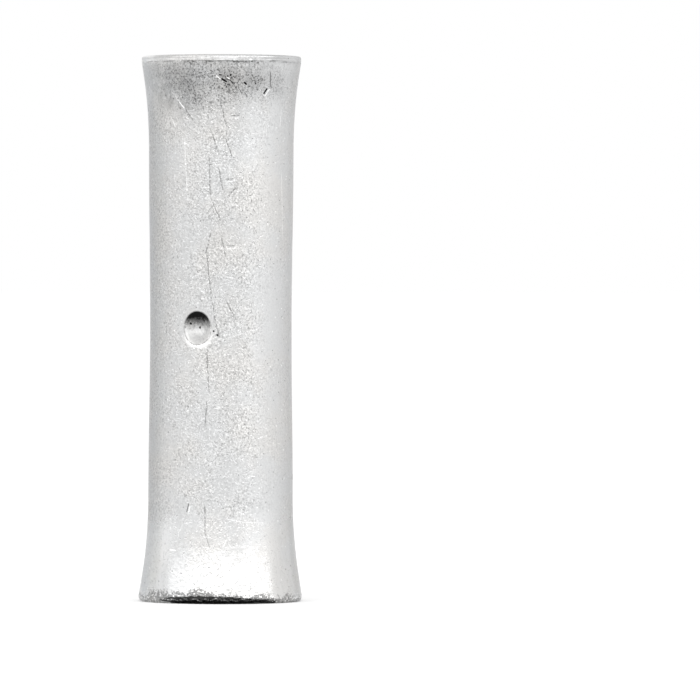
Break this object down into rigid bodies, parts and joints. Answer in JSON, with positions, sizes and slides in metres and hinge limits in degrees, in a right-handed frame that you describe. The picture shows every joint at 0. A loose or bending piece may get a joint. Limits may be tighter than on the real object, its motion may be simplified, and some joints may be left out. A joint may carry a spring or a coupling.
{
  "type": "butt splice connector",
  "caption": "Bare tinned copper butt splice sleeve with belled ends, rounded lips and a pressed wire stop at mid-length, for crimping stranded conductors end to end.",
  "frame": {"origin": "centre of the lower mouth, on the plane that the sleeve stands on", "axes": "+Z along the tube from the lower mouth to the upper one; -Y is the side with the pressed stop"},
  "size_m": [0.0106, 0.0106, 0.035],
  "materials": {
    "tinned_copper": "satin tumbled tin plate on copper, finely grained and scuffed"
  },
  "bodies": {
    "root": {"splice_tube": "tinned_copper"}
  },
  "joints": []
}
